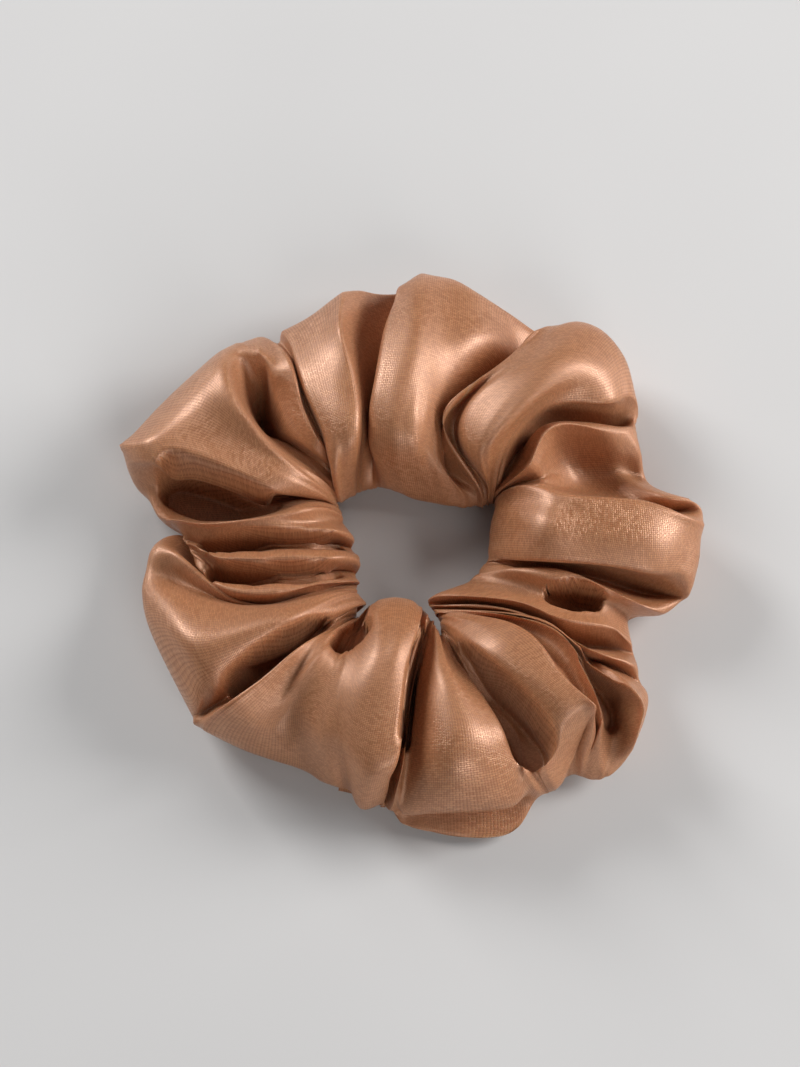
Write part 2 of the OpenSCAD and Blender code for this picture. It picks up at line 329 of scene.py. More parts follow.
def unbroken(directions):
    """Directions in degrees as one clockwise run without a jump."""
    return np.degrees(np.unwrap(np.radians(directions)))


def rounds_of_places():
    """For each fold line, its nine places round the tube, from the inner wall over the top to the seam."""
    rims = [line[2] for line in FOLD_LINES]
    edges = [line[6] for line in FOLD_LINES]
    tops = np.array([line[4][2] for line in FOLD_LINES], float)
    inner_turn = evened(unbroken([p[0] for p in rims]), TURN_PASSES["inner"], -360)
    outer_turn = evened(unbroken([p[0] for p in edges]), TURN_PASSES["outer"], -360)
    top_turn = unbroken([line[4][0] for line in FOLD_LINES])
    under_turn = (outer_turn + top_turn + INNER_WEIGHT * inner_turn) / (2 + INNER_WEIGHT)
    under_turn = evened(under_turn, TURN_PASSES["under"], -360)
    inner_r = evened([p[1] for p in rims], RADIUS_PASSES["inner"])
    outer_r = evened([p[1] for p in edges], RADIUS_PASSES["outer"])
    hollow = np.clip((LOBE_TOP - tops) / HOLLOW_DEPTH, 0, 1)
    rounds = []
    for k, (name, _, rim, inner, top, outer, edge) in enumerate(FOLD_LINES):
        shoulder = place(*outer)
        out = place(*edge)
        slope = shoulder.lerp(out, EVEN_SLOPE)
        slope.z = out.z + EVEN_DROP * (shoulder.z - out.z)
        if name in OUTER_SLOPES:
            slope = place(*OUTER_SLOPES[name])
        foot_height = FOOT_HEIGHT + FOOT_LIFT * hollow[k]
        foot = place(outer_turn[k], outer_r[k] - FOOT_STEP_IN, foot_height, free=True)
        if name in LAYER_FEET:
            foot = place(*LAYER_FEET[name], free=True)
        wall = place(inner_turn[k], inner_r[k] + WALL_STEP_OUT, WALL_HEIGHT, free=True)
        seam = place(under_turn[k], SEAM_RADIUS * 1000, SEAM_HEIGHT + SEAM_LIFT * hollow[k], free=True)
        rounds.append([wall, place(*rim), place(*inner), place(*top), shoulder, slope, out, foot, seam])
    return rounds


wanted = rounds_of_places()
print(len(wanted), "rounds of", len(wanted[0]), "places")

# %% [markdown]
# ## The tube
# A nine-sided ring of points is stood on edge and spun about the opening, which gives a plain tube with
# one ring of points for each fold line. Each ring is then laid on its own fold line. Spin keeps the faces
# joined round the whole turn, so the tube needs no stitching together by hand.

# %% Spin a plain tube
LINES = len(FOLD_LINES)
ROUND = len(STATIONS)
TUBE_MIDDLE = 0.038
TUBE_RADIUS = 0.012
FIRST_STATION = 170


def spun_tube(lines, points):
    """A tube about the opening, with so many rings and so many points in each."""
    bm = bmesh.new()
    made = bmesh.ops.create_circle(bm, segments=points, radius=TUBE_RADIUS)["verts"]
    stand = Matrix.Translation((TUBE_MIDDLE, 0, TUBE_RADIUS)) @ Matrix.Rotation(math.radians(90), 4, "X")
    bmesh.ops.transform(bm, matrix=stand, verts=made)
    bmesh.ops.spin(bm, geom=bm.verts[:] + bm.edges[:], cent=(0, 0, 0), axis=(0, 0, -1),
                   angle=math.tau, steps=lines, use_merge=True, use_duplicate=False)
    return bm


def address(co, lines, points):
    """Which ring a point of the plain tube belongs to, counted clockwise, and which place in it."""
    line = round(-math.degrees(math.atan2(co.y, co.x)) / (360 / lines)) % lines
    lean = math.degrees(math.atan2(co.z - TUBE_RADIUS, math.hypot(co.x, co.y) - TUBE_MIDDLE))
    return line, round((FIRST_STATION - lean) / (360 / points)) % points


tube = spun_tube(LINES, ROUND)
sharpness = tube.edges.layers.float.new("crease_edge")
pinch = tube.verts.layers.float.new("crease_vert")
where = {v: address(v.co, LINES, ROUND) for v in tube.verts}
point = {spot: v for v, spot in where.items()}
print(len(tube.verts), "points,", len(point), "addresses,", len(tube.faces), "faces")

# %% A helper that turns points and faces into a piece
def finished(name, bm):
    """A new smooth piece from a bmesh, at the origin."""
    mesh = bpy.data.meshes.new(name)
    bm.to_mesh(mesh)
    bm.free()
    piece = bpy.data.objects.new(name, mesh)
    bpy.context.scene.collection.objects.link(piece)
    for face in mesh.polygons:
        face.use_smooth = True
    print(name, len(mesh.vertices), "points")
    return piece


# %% Lay each ring on its fold line, with an edge as sharp as the fold
SHARPEST = 0.9
SHARPNESS_STEPS = 8
for v, (line, station) in where.items():
    v.co = wanted[line][station]
for line in range(LINES):
    for station in range(INNER_RIM, OUTER_RIM):
        fold = tube.edges.get((point[line, station], point[line, station + 1]))
        fold[sharpness] = min(SHARPEST, FOLD_LINES[line][1] / SHARPNESS_STEPS)
names = [line[0] for line in FOLD_LINES]
for first, last, station_name, amount in ROLLED_EDGES:
    station = STATIONS.index(station_name)
    for line in range(names.index(first), names.index(last)):
        rolled = tube.edges.get((point[line, station], point[line + 1, station]))
        rolled[sharpness] = amount
for name, (station, amount) in PINCHED.items():
    point[names.index(name), STATIONS.index(station)][pinch] = amount
tube.verts.index_update()
order = [where[v] for v in tube.verts]
cover = finished("satin_cover", tube)

# %% [markdown]
# ## Pulling the smooth surface onto the lines
# A subdivision surface always shrinks inside the points that steer it, so folds would come out too soft
# and too low. The steering points are therefore moved outwards by what is missing, a few times over,
# until the smooth surface itself runs through the fold lines. The misses are printed, in millimetres.

# %% Steer the surface
STEER_ROUNDS = 6


def positions(mesh):
    """All the points of a mesh as rows of x, y, z."""
    flat = np.empty(len(mesh.vertices) * 3)
    mesh.vertices.foreach_get("co", flat)
    return flat.reshape(-1, 3)


def set_positions(mesh, rows):
    """Puts the points of a mesh where the rows say."""
    mesh.vertices.foreach_set("co", np.asarray(rows, float).ravel())
    mesh.update()


def steer(piece, targets):
    """Moves a piece's points until its smooth surface passes through the targets."""
    smooth = piece.modifiers.new("smooth", "SUBSURF")
    smooth.levels = 2
    smooth.render_levels = 2
    steering = targets.copy()
    for turn in range(STEER_ROUNDS):
        set_positions(piece.data, steering)
        graph = bpy.context.evaluated_depsgraph_get()
        graph.update()
        miss = targets - positions(piece.evaluated_get(graph).data)[:len(targets)]
        steering += miss
        print("round", turn, "worst miss", round(float(np.abs(miss).max()) * 1000, 2))
    set_positions(piece.data, steering)
    piece.modifiers.remove(smooth)


targets = np.array([wanted[line][station] for line, station in order])
steer(cover, targets)

# %% [markdown]
# ## Where hollows will be pressed in
# Some hollows are smaller than the space between two fold lines: a round pocket, a slit between two
# pleats. A sculptor would press them in with a fingertip. Each is a short path with a half width at every
# place, and the cloth under it sinks, most along the middle of the path, but never into the elastic or
# the floor. They are pressed in later, once the cloth is smooth, but the seam inside the tube has to know
# about them now.

# %% The hollows: depth in mm, then direction, distance and half width along each path
HOLLOWS = [
    ("oval pocket below the long fold", 14, [(-26, 31.5, 2.2), (-24, 35, 3.2), (-23, 38, 2.4)]),
    ("round pocket in the front", 15,
     [(-70, 27.5, 1.4), (-66, 35.5, 2.6), (-64, 42, 3.6), (-63, 48, 4.4), (-63, 50.5, 4.4)]),
    ("hollow under the beak", 10,
     [(-189, 28.5, 1.6), (-189, 34.5, 3.2), (-190, 41.5, 4.6), (-192, 48, 4)]),
    ("small round pocket beside the flap", 13, [(-115, 24, 2.8), (-117, 26.5, 3.2), (-119, 29, 2.2)]),
    ("first slit", 6, [(-176, 41, 1.6), (-175, 32, 2), (-173, 22.5, 1.8), (-171, 15.5, 1.4)]),
    ("second slit", 8, [(-167, 40, 2.2), (-162, 32.5, 2.4), (-156, 23.5, 2), (-151, 17.5, 1.4)]),
    ("dark slit at the front left", 9,
     [(-136, 47, 1.8), (-135, 41, 2.8), (-134, 34.5, 2.2), (-131, 27.5, 1.4)]),
    ("hollow in the corner lobe", 5, [(-40, 44, 2.4), (-42, 50, 3.6), (-45, 53.5, 3)]),
    ("hollow of the hook", 3, [(-226, 44, 1.8), (-222, 41, 2.8), (-218, 35.5, 2.4)]),
    ("crease beside the closing seam", 7, [(-83, 21, 1), (-90, 32, 1.2), (-92, 44, 1.2)]),
]


def on_ground(direction, radius_mm):
    """A point of the ground plan in millimetres, from its direction and its distance."""
    turn = math.radians(direction)
    return radius_mm * np.array([math.cos(turn), math.sin(turn)])


def pressed(rows, path, depth_mm, margin_mm=0.0):
    """The heights of the points in rows after a hollow is pressed in along a path."""
    nearness = np.zeros(len(rows))
    for (turn_a, radius_a, half_a), (turn_b, radius_b, half_b) in zip(path[:-1], path[1:]):
        start = on_ground(turn_a, radius_a)
        run = on_ground(turn_b, radius_b) - start
        offset = rows[:, :2] * 1000 - start
        along = np.clip(offset @ run / (run @ run), 0, 1)
        away = np.linalg.norm(offset - along[:, None] * run, axis=1)
        half_width = half_a + along * (half_b - half_a) + margin_mm
        nearness = np.maximum(nearness, np.clip(1 - (away / half_width) ** 2, 0, 1))
    lowest = np.array([lowest_height(r) for r in np.hypot(rows[:, 0], rows[:, 1])])
    sunk = rows[:, 2] - depth_mm / 1000 * nearness ** 2 * (3 - 2 * nearness)
    return np.maximum(sunk, np.minimum(rows[:, 2], lowest))


print(len(HOLLOWS), "hollows")

# %% [markdown]
# ## From tube to sewn strip
# The real cover is one strip of satin. Its long edges are sewn together inside the tube, and its short
# ends lap at the closing seam. So the tube is cut along the seam line and at the closing seam, the two
# raw edges are drawn up inside as a seam allowance, and the ends get a turned hem and a tucked end. The
# cut edges are kept sharp, which holds both sides of each cut on the same curve.

# %% Cut the tube open and draw its edges in
ALLOWANCE = 0.007
HALF_SEAM = 0.00045
SEAM_MARGIN_MM = 4.0
SEAM_REACH = 0.003
FIN_SHARE = 0.5
FIN_CLEAR = 0.001
HEM_TURN = 0.003
TUCK = 0.009
CLOSING_LINE = names.index("closing seam crease")


def room_above_seam(line):
    """How high the cloth stands over the seam line at one fold line, hollows and all."""
    upper = wanted[line][INNER_RIM:OUTER_RIM + 1]
    radii = [math.hypot(p.x, p.y) for p in upper]
    heights = [p.z for p in upper]
    steps = (-SEAM_REACH, 0, SEAM_REACH)
    room = min(float(np.interp(SEAM_RADIUS + step, radii, heights)) for step in steps)
    seam_point = wanted[line][SEAM_STATION]
    for _, depth, path in HOLLOWS:
        above = np.array([[seam_point.x, seam_point.y, room]])
        room = min(room, float(pressed(above, path, depth, SEAM_MARGIN_MM)[0]))
    return room


fin_height = [min(ALLOWANCE, FIN_SHARE * (room_above_seam(line) - FIN_CLEAR)) for line in range(LINES)]
fin_height = evened(np.minimum.reduce([np.roll(fin_height, s) for s in (-1, 0, 1)]), 1)

strip = bmesh.new()
strip.from_mesh(cover.data)
strip.verts.ensure_lookup_table()
line_layer = strip.verts.layers.int.new("line")
station_layer = strip.verts.layers.int.new("station")
for v, (line, station) in zip(strip.verts, order):
    v[line_layer] = line
    v[station_layer] = station
sharpness = strip.edges.layers.float.get("crease_edge")


def split_along(bm, chosen):
    """Cuts a mesh along the edges chosen and keeps the cut sharp. Gives the edges on both sides."""
    cut = [e for e in bm.edges if chosen(e)]
    bmesh.ops.split_edges(bm, edges=cut)
    sides = [e for e in bm.edges if e.is_boundary and chosen(e)]
    for e in sides:
        e[sharpness] = 1.0
    return sides


def both_at(layer, number):
    """A test for edges with both ends at one number in a layer."""
    return lambda e: all(v[layer] == number for v in e.verts)


def beside(edge, layer, number):
    """Whether the one face beside an open edge reaches a number in a layer."""
    return any(v[layer] == number for v in edge.link_faces[0].verts)


seam_edges = split_along(strip, both_at(station_layer, SEAM_STATION))
outer_edges = [e for e in seam_edges if beside(e, station_layer, SEAM_STATION - 1)]
inner_edges = [e for e in seam_edges if e not in outer_edges]
for edges, side in ((outer_edges, 1), (inner_edges, -1)):
    grown = bmesh.ops.extrude_edge_only(strip, edges=edges)["geom"]
    for v in [g for g in grown if isinstance(g, bmesh.types.BMVert)]:
        out = Vector((v.co.x, v.co.y, 0)).normalized()
        v.co += out * side * HALF_SEAM + Vector((0, 0, fin_height[v[line_layer]]))
        v[station_layer] = ROUND if side > 0 else -1
print("seam edges on each side:", len(outer_edges), len(inner_edges))

# %% Cut across at the closing seam, turn the hem in and tuck the other end under it
HEM_STEP = 0.0004
TUCK_INSET = 0.002
END_FLOOR = 0.0008
end_edges = split_along(strip, both_at(line_layer, CLOSING_LINE))
flap_edges = [e for e in end_edges if beside(e, line_layer, CLOSING_LINE + 1)]
tuck_edges = [e for e in end_edges if e not in flap_edges]


def grow_end(edges, step, inset, mark):
    """Draws an end of the tube on round the ring by a step, and in towards the tube's middle."""
    grown = bmesh.ops.extrude_edge_only(strip, edges=edges)["geom"]
    new = [g for g in grown if isinstance(g, bmesh.types.BMVert)]
    middle = sum((v.co for v in new), Vector()) / len(new)
    for v in new:
        onward = Vector((v.co.y, -v.co.x, 0)).normalized()
        inward = (middle - v.co).normalized()
        v.co += onward * step + inward * inset
        v.co.z = max(v.co.z, END_FLOOR)
        v[line_layer] = mark


grow_end(flap_edges, -HEM_STEP, HEM_TURN, -1)
grow_end(tuck_edges, TUCK, TUCK_INSET, -2)
bmesh.ops.recalc_face_normals(strip, faces=strip.faces[:])
crown = max(strip.faces, key=lambda f: f.calc_center_median().z)
if crown.normal.z < 0:
    bmesh.ops.reverse_faces(strip, faces=strip.faces[:])
print(len(strip.faces), "faces in the strip,", sum(e.is_boundary for e in strip.edges), "open edges")

# %% [markdown]
# ## The cloth's own coordinates
# The weave has to follow the strip, not the room. So every point gets a place on the flat strip: how far
# it is along the strip and how far across it, in metres, measured along the cloth. The strip's flat size
# comes out of the same sums.

# %% Measure the strip and lay out its UV map
steering_rows = np.zeros((LINES, ROUND, 3))
for (line, station), row in zip(order, positions(cover.data)):
    steering_rows[line, station] = row
lengthwise = np.linalg.norm(np.roll(steering_rows, -1, 0) - steering_rows, axis=2)
lengthwise = lengthwise[:, INNER_RIM + 1:OUTER_RIM - 1].mean(1)
across = np.linalg.norm(np.diff(steering_rows, axis=1), axis=2).mean(0)
last_step = np.linalg.norm(steering_rows[:, 0] - steering_rows[:, -1], axis=1).mean()
along_at = np.concatenate([[0], np.cumsum(np.roll(lengthwise, -CLOSING_LINE))])
across_at = ALLOWANCE + last_step + np.concatenate([[0], np.cumsum(across)])
STRIP_LENGTH = float(along_at[-1] + HEM_TURN + TUCK)
STRIP_WIDTH = float(across_at[-1] + ALLOWANCE)
print("strip, in mm:", round(STRIP_LENGTH * 1000), "by", round(STRIP_WIDTH * 1000))


def flat_place(v, face_lines, near_inner):
    """Where one corner of a face lies on the flat strip."""
    line = v[line_layer]
    station = v[station_layer]
    if line == -1:
        u = -HEM_TURN
    elif line == -2:
        u = along_at[-1] + TUCK
    else:
        u = along_at[(line - CLOSING_LINE) % LINES]
        if line == CLOSING_LINE and (-2 in face_lines or CLOSING_LINE - 1 in face_lines):
            u = along_at[-1]
    if station == -1:
        w = 0.0
    elif station == ROUND:
        w = STRIP_WIDTH
    elif station == SEAM_STATION:
        w = ALLOWANCE if near_inner else across_at[-1]
    else:
        w = across_at[station]
    return u, w


weave_map = strip.loops.layers.uv.new("UVMap")
for face in strip.faces:
    lines_here = {v[line_layer] for v in face.verts}
    inner_side = any(v[station_layer] in (-1, 0) for v in face.verts)
    for corner in face.loops:
        corner[weave_map].uv = flat_place(corner.vert, lines_here, inner_side)
strip.to_mesh(cover.data)
strip.free()

# %% [markdown]
# ## Smooth cloth, with hollows pressed in
# Three levels of subdivision make the cloth smooth and give it enough points for the hollows. Only the
# upper side sinks, which is the part of the strip between the rim of the opening and the outer rim.

# %% Subdivide, then press the hollows
def apply_modifier(piece, name):
    """Makes a modifier's result the piece's own mesh."""
    with bpy.context.temp_override(object=piece, active_object=piece):
        bpy.ops.object.modifier_apply(modifier=name)


def strip_places(mesh):
    """The place on the flat strip of every point of a mesh."""
    corners = np.empty(len(mesh.loops), int)
    mesh.loops.foreach_get("vertex_index", corners)
    uv = np.empty(len(mesh.loops) * 2)
    mesh.uv_layers[0].data.foreach_get("uv", uv)
    places = np.zeros((len(mesh.vertices), 2))
    places[corners] = uv.reshape(-1, 2)
    return places


smooth = cover.modifiers.new("smooth", "SUBSURF")
smooth.levels = 3
smooth.render_levels = 3
apply_modifier(cover, "smooth")
cloth = positions(cover.data)
on_strip = strip_places(cover.data)
upper_side = (on_strip[:, 1] > across_at[INNER_RIM]) & (on_strip[:, 1] < across_at[OUTER_RIM])
for name, depth, path in HOLLOWS:
    cloth[upper_side, 2] = pressed(cloth[upper_side], path, depth)
set_positions(cover.data, cloth)
print(len(cloth), "points,", len(HOLLOWS), "hollows")

# %% [markdown]
# ## Small unevenness
# Real satin is never quite even. It has shallow dents a centimetre long, and small puckers near the
# elastic, where the gathers are tight. Both are added by moving points along their normals, by amounts
# that come from noise on the strip's own coordinates.

# %% Add dents and puckers
DENT = 0.0005
PUCKER = 0.0006
GATHER_RADIUS = 0.021
GATHER_REACH = 0.014
GROUND_GAP = 0.0002


def normals(mesh):
    """The normals of every point of a mesh."""
    flat = np.empty(len(mesh.vertices) * 3)
    mesh.vertex_normals.foreach_get("vector", flat)
    return flat.reshape(-1, 3)


def ripple(place_on_strip, along, across, seed):
    """Noise on the flat strip, with so many ripples in a metre along it and across it."""
    u, w = place_on_strip
    return noise.noise(Vector((u * along, w * across, seed)))


def unevenness(place_on_strip, radius):
    """How far one point of the cloth stands off its smooth surface."""
    dent = ripple(place_on_strip, 70, 55, 1.7) + 0.5 * ripple(place_on_strip, 160, 110, 5.2)
    gathered = max(0.0, 1 - abs(radius - GATHER_RADIUS) / GATHER_REACH)
    pucker = ripple(place_on_strip, 300, 60, 9.4)
    return DENT * dent + PUCKER * gathered * pucker


away = np.hypot(cloth[:, 0], cloth[:, 1])
lift = np.array([unevenness(p, r) for p, r in zip(on_strip, away)])
cloth = cloth + normals(cover.data) * lift[:, None]
cloth[:, 2] = np.maximum(cloth[:, 2], GROUND_GAP)
set_positions(cover.data, cloth)
for face in cover.data.polygons:
    face.use_smooth = True
print("cloth area, in square mm:", round(sum(f.area for f in cover.data.polygons) * 1e6))

# %% [markdown]
# ## The satin
# Satin is woven so that each warp thread floats over several crossing threads before it dips under one.
# The floats lie side by side and all point one way, so light slides off them in long soft streaks instead
# of one small bright spot. A brick pattern is a good picture of the floats: long thin bricks, each row
# shifted against the next. It gives the colour of each float a small change and the bump its height, and
# the anisotropy of the shader, turned to follow the floats, does the streaks. Polyester lets some light
# through, so the folds glow.

# %% Helpers for materials
def new_material(name):
    """A new node material. Gives the material, its nodes, its links and its Principled shader."""
    material = bpy.data.materials.new(name)
    material.use_nodes = True
    nodes = material.node_tree.nodes
    return material, nodes, material.node_tree.links, nodes["Principled BSDF"]


def settle(node, values):
    """Sets a node's inputs to fixed values."""
    for name, value in values.items():
        node.inputs[name].default_value = value


def coloured(nodes, links, shader, factor, dark, light, dark_until=0.0):
    """Colours a shader from dark to light by a factor."""
    ramp = nodes.new("ShaderNodeValToRGB")
    ramp.color_ramp.elements[0].position = dark_until
    ramp.color_ramp.elements[0].color = dark
    ramp.color_ramp.elements[1].color = light
    links.new(factor, ramp.inputs["Fac"])
    links.new(ramp.outputs["Color"], shader.inputs["Base Color"])


def bumped(nodes, links, shader, height, strength, distance):
    """Gives a shader a fine relief."""
    bump = nodes.new("ShaderNodeBump")
    settle(bump, {"Strength": strength, "Distance": distance})
    links.new(height, bump.inputs["Height"])
    links.new(bump.outputs["Normal"], shader.inputs["Normal"])


def spread(nodes, links, factor, low, high):
    """Turns a factor from 0 to 1 into one between low and high."""
    node = nodes.new("ShaderNodeMapRange")
    settle(node, {"To Min": low, "To Max": high})
    links.new(factor, node.inputs["Value"])
    return node.outputs["Result"]


# %% Weave the satin
# A wave texture with scale 1 repeats at this distance.
WAVE_PERIOD = math.tau / 20
FLOAT_LENGTH = 0.0010
FLOAT_WIDTH = 0.00036
DIP_PITCH = 0.00050
SATIN_DARK = (0.235, 0.066, 0.018, 1)
SATIN_LIGHT = (0.55, 0.252, 0.118, 1)


def woven_floats(nodes, links, strip_uv):
    """The height of the weave: floats along the strip, with a dip wherever a cross thread passes over."""
    floats = nodes.new("ShaderNodeTexBrick")
    floats.offset = 0.4
    floats.offset_frequency = 2
    settle(floats, {
        "Scale": 1.0,
        "Brick Width": FLOAT_LENGTH,
        "Row Height": FLOAT_WIDTH,
        "Mortar Size": FLOAT_WIDTH * 0.2,
        "Mortar Smooth": 1.0,
        "Color1": (0.36, 0.36, 0.36, 1),
        "Color2": (0.80, 0.80, 0.80, 1),
        "Mortar": (0.12, 0.12, 0.12, 1),
    })
    links.new(strip_uv, floats.inputs["Vector"])
    dips = nodes.new("ShaderNodeTexWave")
    dips.bands_direction = "X"
    settle(dips, {"Scale": WAVE_PERIOD / DIP_PITCH, "Distortion": 0.8, "Detail Scale": 900})
    links.new(strip_uv, dips.inputs["Vector"])
    weave = nodes.new("ShaderNodeMath")
    weave.operation = "MULTIPLY_ADD"
    links.new(dips.outputs["Fac"], weave.inputs[0])
    weave.inputs[1].default_value = 0.25
    links.new(floats.outputs["Color"], weave.inputs[2])
    return weave.outputs["Value"]


def satin():
    """Copper polyester satin, woven along the strip."""
    material, nodes, links, shader = new_material("satin")
    strip_uv = nodes.new("ShaderNodeUVMap")
    strip_uv.uv_map = "UVMap"
    weave = woven_floats(nodes, links, strip_uv.outputs["UV"])
    dye = nodes.new("ShaderNodeTexNoise")
    settle(dye, {"Scale": 28, "Detail": 3})
    links.new(strip_uv.outputs["UV"], dye.inputs["Vector"])
    tone = nodes.new("ShaderNodeMath")
    tone.operation = "MULTIPLY_ADD"
    links.new(dye.outputs["Fac"], tone.inputs[0])
    tone.inputs[1].default_value = 0.25
    links.new(weave, tone.inputs[2])
    coloured(nodes, links, shader, tone.outputs["Value"], SATIN_DARK, SATIN_LIGHT, dark_until=0.1)
    links.new(spread(nodes, links, weave, 0.50, 0.31), shader.inputs["Roughness"])
    bumped(nodes, links, shader, weave, 0.45, 0.0001)
    lie = nodes.new("ShaderNodeTangent")
    lie.direction_type = "UV_MAP"
    lie.uv_map = "UVMap"
    links.new(lie.outputs["Tangent"], shader.inputs["Tangent"])
    settle(shader, {
        "Metallic": 0.2,
        "Anisotropic": 0.45,
        "Specular IOR Level": 1.0,
        "Specular Tint": (1.0, 0.97, 0.94, 1),
        "Sheen Weight": 0.06,
        "Sheen Roughness": 0.4,
        "Sheen Tint": (1.0, 0.80, 0.66, 1),
        "Subsurface Weight": 0.15,
        "Subsurface Radius": (1.0, 0.35, 0.18),
        "Subsurface Scale": 0.003,
    })
    return material


def dress(piece, material):
    """Gives a piece its material, in its one slot."""
    piece.data.materials.clear()
    piece.data.materials.append(material)


dress(cover, satin())

# %% [markdown]
# ## The elastic
# Inside the cover is a flat elastic four millimetres wide, cut longer than the loop so that its ends lap.
# It stands on edge. One spin of more than a full turn makes it, and the outer end is then moved out by a
# little more than its own thickness, where it lies over the inner end. Fine ribs that run round the loop
# show where its rubber cords lie.

# %% Make the elastic loop
ELASTIC_LOW = elastic_low[2]
ELASTIC_WIDTH = ELASTIC_TOP - ELASTIC_LOW
ELASTIC_THICK = 0.0011
LAP_OVER = 0.0013
JOIN_DIRECTION = 225
LAP = 32
ELASTIC_STEPS = 196
RISE_STEPS = 6


def elastic_loop():
    """The flat elastic, from its inner end round to its outer end."""
    bm = bmesh.new()
    made = bmesh.ops.create_grid(bm, x_segments=1, y_segments=6, size=0.5)["verts"]
    shape = Matrix.Translation((ELASTIC_R, 0, ELASTIC_LOW + ELASTIC_WIDTH / 2))
    shape = shape @ Matrix.Rotation(math.radians(90), 4, "X")
    shape = shape @ Matrix.Diagonal((ELASTIC_THICK, ELASTIC_WIDTH, 1, 1))
    bmesh.ops.transform(bm, matrix=shape, verts=made)
    start = math.radians(JOIN_DIRECTION - LAP / 2)
    bmesh.ops.rotate(bm, cent=(0, 0, 0), matrix=Matrix.Rotation(start, 3, "Z"), verts=made)
    run = math.radians(360 + LAP)
    per_ring = len(made)
    bmesh.ops.spin(bm, geom=bm.verts[:] + bm.edges[:] + bm.faces[:], cent=(0, 0, 0), axis=(0, 0, 1),
                   angle=run, steps=ELASTIC_STEPS, use_merge=False, use_duplicate=False)
    bm.verts.ensure_lookup_table()
    lap_steps = LAP / (360 + LAP) * ELASTIC_STEPS
    for v in bm.verts:
        ring = v.index // per_ring
        over = min(1.0, max(0.0, (ring - (ELASTIC_STEPS - lap_steps - RISE_STEPS)) / RISE_STEPS))
        out = Vector((v.co.x, v.co.y, 0)).normalized()
        v.co += out * over * LAP_OVER
    bmesh.ops.recalc_face_normals(bm, faces=bm.faces[:])
    return finished("elastic_band", bm)


elastic = elastic_loop()

# %% Knitted elastic, with ribs that run round the loop
RIB_PITCH = 0.0022


def knitted_elastic():
    """Off-white elastic with ribs that run round the loop."""
    material, nodes, links, shader = new_material("knitted_elastic")
    place_on = nodes.new("ShaderNodeTexCoord")
    ribs = nodes.new("ShaderNodeTexWave")
    ribs.bands_direction = "Z"
    settle(ribs, {"Scale": WAVE_PERIOD / RIB_PITCH, "Distortion": 0.6})
    links.new(place_on.outputs["Object"], ribs.inputs["Vector"])
    knit = nodes.new("ShaderNodeTexNoise")
    settle(knit, {"Scale": 1800})
    links.new(place_on.outputs["Object"], knit.inputs["Vector"])
    coloured(nodes, links, shader, ribs.outputs["Fac"], (0.50, 0.46, 0.38, 1), (0.76, 0.72, 0.64, 1))
    links.new(spread(nodes, links, knit.outputs["Fac"], 0.7, 0.9), shader.inputs["Roughness"])
    bumped(nodes, links, shader, ribs.outputs["Fac"], 0.6, 0.0002)
    settle(shader, {"Sheen Weight": 0.15})
    return material


dress(elastic, knitted_elastic())

# %% [markdown]
# ## The stitches
# Three seams hold the object together: a machine stitch along the strip's two raw edges, slip stitches
# where the tube's ends lap, and a zigzag through the elastic's two ends. Each stitch is one small rounded
# grain of thread, laid where the cloth or the elastic is, so that hundreds of them stay light.

# %% A stitch and a row of stitches
THREAD = 0.0003


def lay_stitches(name, places):
    """One piece of thread from many stitches, each given by its middle, its direction and its length."""
    bm = bmesh.new()
    for middle, direction, length in places:
        made = bmesh.ops.create_uvsphere(bm, u_segments=6, v_segments=5, radius=0.5)["verts"]
        turn = Vector(direction).to_track_quat("Z", "Y").to_matrix().to_4x4()
        size = Matrix.Diagonal((THREAD, THREAD, length, 1))
        bmesh.ops.transform(bm, matrix=Matrix.Translation(middle) @ turn @ size, verts=made)
    return finished(name, bm)


# %% The long seam, half way up the two raw edges
STITCH_PITCH = 0.0026
STITCH_LENGTH = 0.0022


def along_path(points, pitch):
    """Places and directions at even steps along a closed run of points."""
    points = np.vstack([points, points[:1]])
    steps = np.linalg.norm(np.diff(points, axis=0), axis=1)
    reached = np.concatenate([[0], np.cumsum(steps)])
    stops = np.arange(0.5 * pitch, reached[-1], pitch)
    spots = np.stack([np.interp(stops, reached, points[:, i]) for i in range(3)], 1)
    ahead = np.stack([np.interp(stops + 0.2 * pitch, reached, points[:, i]) for i in range(3)], 1)
    return [(Vector(a), Vector(b - a).normalized()) for a, b in zip(spots, ahead)]


seam_path = []
for line in range(LINES):
    base = wanted[line][SEAM_STATION]
    seam_path.append((base.x, base.y, base.z + 0.5 * fin_height[line]))
seam_places = []
for middle, direction in along_path(np.array(seam_path), STITCH_PITCH):
    out = Vector((middle.x, middle.y, 0)).normalized()
    for side in (-1, 1):
        seam_places.append((middle + out * side * (HALF_SEAM + THREAD / 2), direction, STITCH_LENGTH))
long_seam = lay_stitches("long_seam_stitches", seam_places)

# %% The closing seam, under the edge of the hemmed end
CLOSING_STITCHES = 34
CLOSING_STITCH_LENGTH = 0.0012
AT_FOLD = 1e-5
at_hem_fold = np.abs(on_strip[:, 0]) < AT_FOLD
within_seams = (on_strip[:, 1] > ALLOWANCE) & (on_strip[:, 1] < STRIP_WIDTH - ALLOWANCE)
closing_spots = np.flatnonzero(at_hem_fold & within_seams)
closing_spots = closing_spots[np.argsort(on_strip[closing_spots, 1], kind="stable")]
closing_row = cloth[closing_spots]
closing_places = []
for n in range(CLOSING_STITCHES):
    at = (n + 0.5) / CLOSING_STITCHES * (len(closing_row) - 1)
    i = min(int(at), len(closing_row) - 2)
    middle = Vector(closing_row[i].tolist()).lerp(Vector(closing_row[i + 1].tolist()), at - i)
    onward = Vector((middle.y, -middle.x, 0)).normalized()
    closing_places.append((middle, onward, CLOSING_STITCH_LENGTH))
closing_seam = lay_stitches("closing_seam_stitches", closing_places)

